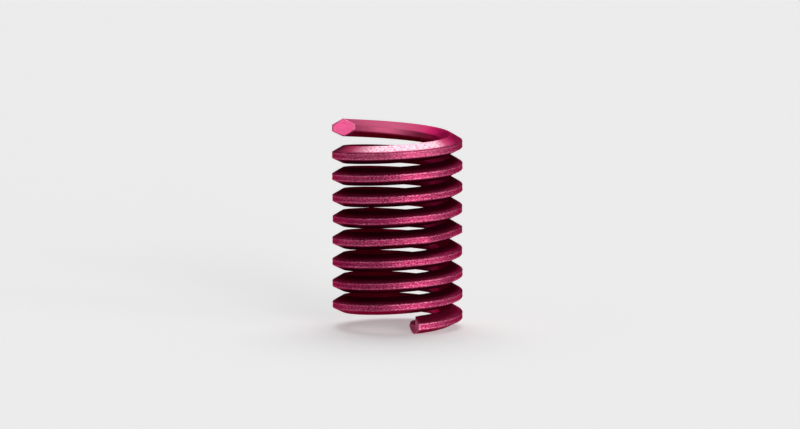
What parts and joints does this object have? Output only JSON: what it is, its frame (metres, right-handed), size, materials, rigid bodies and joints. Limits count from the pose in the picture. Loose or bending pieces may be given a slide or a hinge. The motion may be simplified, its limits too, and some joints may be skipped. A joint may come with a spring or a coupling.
{
  "type": "threaded insert",
  "caption": "Right-hand coil of diamond-section wire that lines a tapped hole with a bolt thread; dyed crimson, with a flat-sided grip turn and its driving tang broken off.",
  "frame": {"origin": "on the coil's axis, level with the lowest point of the wire's lower end", "axes": "+Z along the coil's axis, towards the end where the bolt enters; -Y is the side that the picture shows, and +X its right"},
  "size_m": [0.0078, 0.0078, 0.0125],
  "materials": {
    "dyed_wire": "satin, crimson dye over drawn stainless wire"
  },
  "bodies": {
    "root": {"wire_coil": "dyed_wire"}
  },
  "joints": []
}
